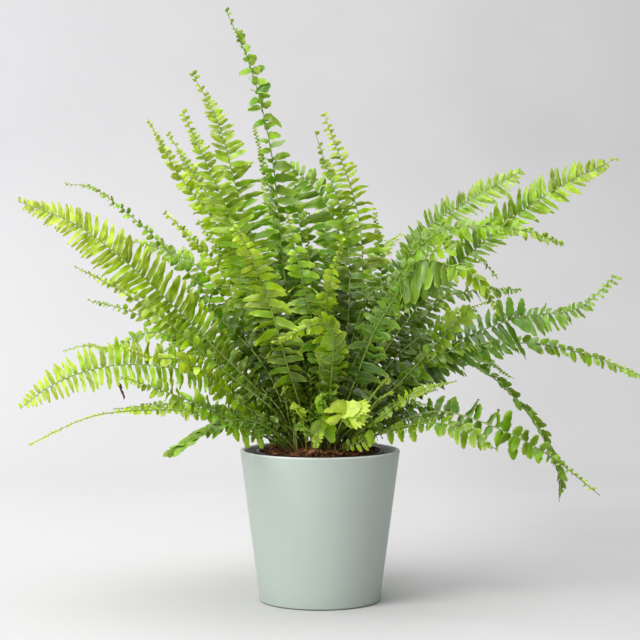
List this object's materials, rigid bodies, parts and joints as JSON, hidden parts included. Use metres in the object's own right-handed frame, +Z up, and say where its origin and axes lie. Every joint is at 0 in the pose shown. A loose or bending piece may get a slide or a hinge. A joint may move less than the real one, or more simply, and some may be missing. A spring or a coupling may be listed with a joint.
{
  "type": "potted fern",
  "caption": "Sword fern with arching fronds, growing in soil in a black nursery pot that stands in a tapered pale green planter.",
  "frame": {"origin": "middle of the planter's foot, on the surface that it stands on", "axes": "+Z up along the planter's axis, -Y towards the side the plant is seen from, +X to its right"},
  "size_m": [0.5906, 0.4036, 0.5453],
  "materials": {
    "planter_glaze": "satin",
    "pot_plastic": "satin",
    "soil": "matte",
    "fern_lime": "satin",
    "fern_bright": "satin",
    "fern_mid": "satin",
    "fern_dark": "satin"
  },
  "bodies": {
    "root": {"planter": "planter_glaze", "nursery_pot": "pot_plastic", "soil": "soil", "frond_left_upper_broad": "fern_lime", "frond_left_big_arc": "fern_lime", "frond_right_reach": "fern_bright", "frond_right_broad": "fern_mid", "frond_tallest": "fern_mid", "frond_top_left_inner": "fern_bright", "frond_top_left_broad_a": "fern_bright", "frond_top_left_broad_b": "fern_bright", "frond_top_left_outer": "fern_lime", "frond_top_right_broad_a": "fern_lime", "frond_top_right_broad_b": "fern_bright", "frond_front_left": "fern_lime", "frond_front_mid": "fern_bright", "frond_front_dark": "fern_mid", "frond_front_right_curtain": "fern_dark", "frond_front_nodding": "fern_lime", "frond_front_right": "fern_lime", "frond_right_low_long": "fern_bright", "frond_right_droop": "fern_dark", "frond_right_level": "fern_mid", "frond_left_trailing": "fern_lime", "frond_left_thin_high": "fern_mid", "frond_right_nodding": "fern_bright", "frond_right_high": "fern_bright", "frond_left_thin_mid": "fern_lime", "frond_left_mid_short": "fern_bright", "frond_left_round_leaf": "fern_lime", "frond_left_level": "fern_bright", "frond_left_slim_a": "fern_mid", "frond_left_slim_b": "fern_bright", "frond_left_slim_c": "fern_dark", "frond_left_front_slim": "fern_bright", "frond_left_low_back": "fern_dark", "frond_left_low_front": "fern_mid", "frond_right_pale_small": "fern_lime", "frond_right_low_front": "fern_lime", "frond_right_bright": "fern_lime", "frond_right_short_hook": "fern_mid", "frond_right_dark": "fern_dark", "frond_right_mid_back": "fern_dark", "frond_right_low_back": "fern_dark", "frond_top_mid_broad": "fern_mid", "frond_top_back_slim": "fern_mid", "frond_top_right_slim": "fern_mid", "frond_back_a": "fern_mid", "frond_back_b": "fern_bright", "frond_back_c": "fern_mid", "frond_back_d": "fern_dark", "frond_back_e": "fern_dark", "frond_back_f": "fern_bright", "frond_back_g": "fern_bright", "frond_front_lime": "fern_lime", "frond_front_hanging": "fern_bright", "frond_front_tiny": "fern_lime", "frond_crozier_high": "fern_lime", "frond_crozier_low": "fern_lime"}
  },
  "joints": []
}
